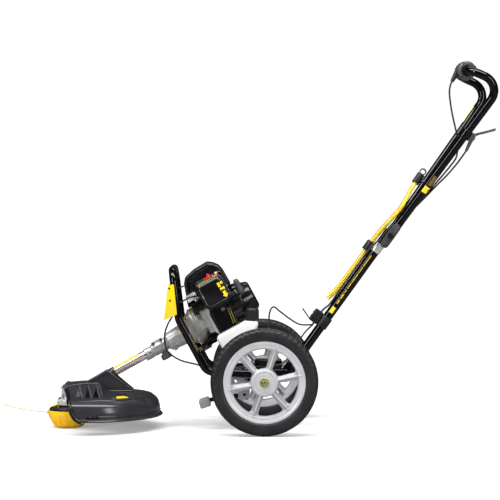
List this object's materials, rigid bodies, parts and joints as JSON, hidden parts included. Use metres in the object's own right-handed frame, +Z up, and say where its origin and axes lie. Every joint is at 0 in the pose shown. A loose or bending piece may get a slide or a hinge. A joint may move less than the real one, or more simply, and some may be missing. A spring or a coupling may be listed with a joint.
{
  "type": "wheeled string trimmer",
  "caption": "Petrol string trimmer on two large wheels: line head and guard in front, shaft and engine over the axle, folding push handle with controls behind.",
  "frame": {"origin": "on the ground under the middle of the whole machine's outline", "axes": "+X backwards from the line head to the handle, +Y to the machine's far side in the picture (the operator's right), +Z up"},
  "size_m": [1.4349, 0.5146, 1.0704],
  "materials": {
    "front_hoop": "gloss",
    "axle_carrier": "gloss",
    "axle": "yellow zinc",
    "axle_nut": "yellow zinc",
    "warning_plate": "satin",
    "handle_column": "gloss",
    "knuckle_left": "painted satin",
    "knuckle_right": "painted satin",
    "fold_bolt": "blackened",
    "cable_clamp": "satin",
    "throttle_cable_lower": "satin",
    "lever_cable_lower": "satin",
    "throttle_cable_upper": "satin",
    "lever_cable_upper": "satin",
    "line_clip": "satin",
    "engine_mount": "gloss",
    "crankcase": "cast",
    "cylinder": "cast",
    "engine_shroud": "satin",
    "clutch_housing": "cast",
    "shaft_cone": "cast",
    "starter_housing": "satin",
    "spark_plug": "satin",
    "muffler": "satin",
    "air_filter_cover": "gloss",
    "carburettor": "cast",
    "fuel_tank": "translucent white",
    "coupler": "cast",
    "shaft_tube": "polished",
    "gear_case": "cast",
    "guard": "satin",
    "line_cutter": "satin",
    "spare_lines": "smooth line",
    "tyre_left": "matte",
    "tyre_right": "matte",
    "rim_left": "satin",
    "rim_right": "satin",
    "crankshaft": "machined",
    "flywheel": "cast",
    "clutch_drum": "machined",
    "drive_shaft": "machined",
    "head_spindle": "machined",
    "head_cover": "satin",
    "head_bowl": "satin",
    "spool": "satin",
    "cutting_line": "smooth line",
    "bump_knob": "satin",
    "starter_pulley": "satin",
    "starter_handle": "satin",
    "upper_handle": "gloss",
    "control_housing": "satin",
    "throttle_ring": "satin",
    "stop_button": "gloss",
    "lever_bracket": "satin",
    "hand_lever": "satin",
    "coupler_knob": "satin",
    "choke_lever": "gloss",
    "fuel_cap": "satin",
    "foot_pedal": "satin",
    "line_holder": "satin"
  },
  "bodies": {
    "chassis": {"front_hoop": "front_hoop", "axle_carrier": "axle_carrier", "axle": "axle", "axle_nut": "axle_nut", "warning_plate": "warning_plate", "handle_column": "handle_column", "knuckle_left": "knuckle_left", "knuckle_right": "knuckle_right", "fold_bolt": "fold_bolt", "cable_clamp": "cable_clamp", "throttle_cable_lower": "throttle_cable_lower", "lever_cable_lower": "lever_cable_lower", "line_clip": "line_clip", "engine_mount": "engine_mount", "crankcase": "crankcase", "cylinder": "cylinder", "engine_shroud": "engine_shroud", "clutch_housing": "clutch_housing", "shaft_cone": "shaft_cone", "starter_housing": "starter_housing", "spark_plug": "spark_plug", "muffler": "muffler", "air_filter_cover": "air_filter_cover", "carburettor": "carburettor", "fuel_tank": "fuel_tank", "coupler": "coupler", "shaft_tube": "shaft_tube", "gear_case": "gear_case", "guard": "guard", "line_cutter": "line_cutter", "spare_lines": "spare_lines"},
    "wheel_left": {"tyre_left": "tyre_left", "rim_left": "rim_left"},
    "wheel_right": {"tyre_right": "tyre_right", "rim_right": "rim_right"},
    "crank": {"crankshaft": "crankshaft", "flywheel": "flywheel"},
    "drive": {"clutch_drum": "clutch_drum", "drive_shaft": "drive_shaft"},
    "head": {"head_spindle": "head_spindle", "head_cover": "head_cover", "head_bowl": "head_bowl", "spool": "spool", "cutting_line": "cutting_line"},
    "bump": {"bump_knob": "bump_knob"},
    "recoil": {"starter_pulley": "starter_pulley"},
    "pull": {"starter_handle": "starter_handle"},
    "handle": {"upper_handle": "upper_handle", "control_housing": "control_housing", "lever_bracket": "lever_bracket", "line_holder": "line_holder", "throttle_cable_upper": "throttle_cable_upper", "lever_cable_upper": "lever_cable_upper"},
    "throttle": {"throttle_ring": "throttle_ring"},
    "stop": {"stop_button": "stop_button"},
    "lever": {"hand_lever": "hand_lever"},
    "coupler_screw": {"coupler_knob": "coupler_knob"},
    "choke": {"choke_lever": "choke_lever"},
    "cap": {"fuel_cap": "fuel_cap"},
    "pedal": {"foot_pedal": "foot_pedal"}
  },
  "joints": [
    {"name": "wheel_left_spin", "type": "hinge", "parent": "chassis", "child": "wheel_left", "pos_m": [0.04466, -0.225, 0.1525], "axis": [0, 1, 0], "continuous": true},
    {"name": "wheel_right_spin", "type": "hinge", "parent": "chassis", "child": "wheel_right", "pos_m": [0.04466, 0.225, 0.1525], "axis": [0, 1, 0], "continuous": true},
    {"name": "crank_spin", "type": "hinge", "parent": "chassis", "child": "crank", "pos_m": [-0.0891, 0, 0.32809], "axis": [0.878, 0, 0.4787], "continuous": true},
    {"name": "shaft_spin", "type": "hinge", "parent": "chassis", "child": "drive", "pos_m": [-0.35074, 0, 0.18544], "axis": [0.878, 0, 0.4787], "continuous": true},
    {"name": "head_spin", "type": "hinge", "parent": "chassis", "child": "head", "pos_m": [-0.52634, 0, 0.05], "axis": [0, 0, 1], "continuous": true},
    {"name": "bump_slide", "type": "slide", "parent": "head", "child": "bump", "axis": [0, 0, 1], "range_m": [0, 0.008], "stiffness_N_per_m": 3000, "springref_m": -0.01},
    {"name": "starter_slide", "type": "slide", "parent": "chassis", "child": "pull", "axis": [0, -1, 0], "range_m": [0, 0.6], "stiffness_N_per_m": 8, "springref_m": -0.25},
    {"name": "pulley_spin", "type": "hinge", "parent": "chassis", "child": "recoil", "pos_m": [-0.0028, 0, 0.37514], "axis": [0.878, 0, 0.4787], "continuous": true},
    {"name": "handle_fold", "type": "hinge", "parent": "chassis", "child": "handle", "pos_m": [0.41407, 0, 0.56209], "axis": [0, -1, 0], "range_deg": [0, 115], "deforming": ["throttle_cable_lower", "lever_cable_lower", "spare_lines"]},
    {"name": "throttle_twist", "type": "hinge", "parent": "handle", "child": "throttle", "pos_m": [0.63194, -0.036, 1.04155], "axis": [0, 1, 0], "range_deg": [0, 60], "stiffness_Nm_per_rad": 0.2, "springref_deg": -17.19},
    {"name": "stop_press", "type": "slide", "parent": "handle", "child": "stop", "axis": [-1, 0, 0], "range_m": [0, 0.003], "stiffness_N_per_m": 600, "springref_m": -0.001},
    {"name": "lever_squeeze", "type": "hinge", "parent": "handle", "child": "lever", "pos_m": [0.6512, -0.10297, 0.85071], "axis": [-0.1213, -0.9782, -0.1683], "range_deg": [0, 35], "stiffness_Nm_per_rad": 1, "springref_deg": -17.19},
    {"name": "coupler_turn", "type": "hinge", "parent": "chassis", "child": "coupler_screw", "pos_m": [-0.24156, 0, 0.2108], "axis": [-0.4787, 0, 0.878], "continuous": true},
    {"name": "choke_turn", "type": "hinge", "parent": "chassis", "child": "choke", "pos_m": [-0.11436, -0.076, 0.44336], "axis": [-0.4787, 0, 0.878], "range_deg": [0, 60]},
    {"name": "cap_turn", "type": "hinge", "parent": "chassis", "child": "cap", "pos_m": [0.01157, -0.072, 0.33678], "axis": [0, 0, 1], "continuous": true},
    {"name": "pedal_press", "type": "hinge", "parent": "chassis", "child": "pedal", "pos_m": [-0.01134, -0.04, 0.1], "axis": [0, -1, 0], "range_deg": [0, 15], "stiffness_Nm_per_rad": 3, "springref_deg": -14.32}
  ],
  "couplings": [
    {"joint": "shaft_spin", "follows": "head_spin", "ratio": -1.3571},
    {"joint": "pulley_spin", "follows": "starter_slide", "rad_per_m": 37.037}
  ]
}
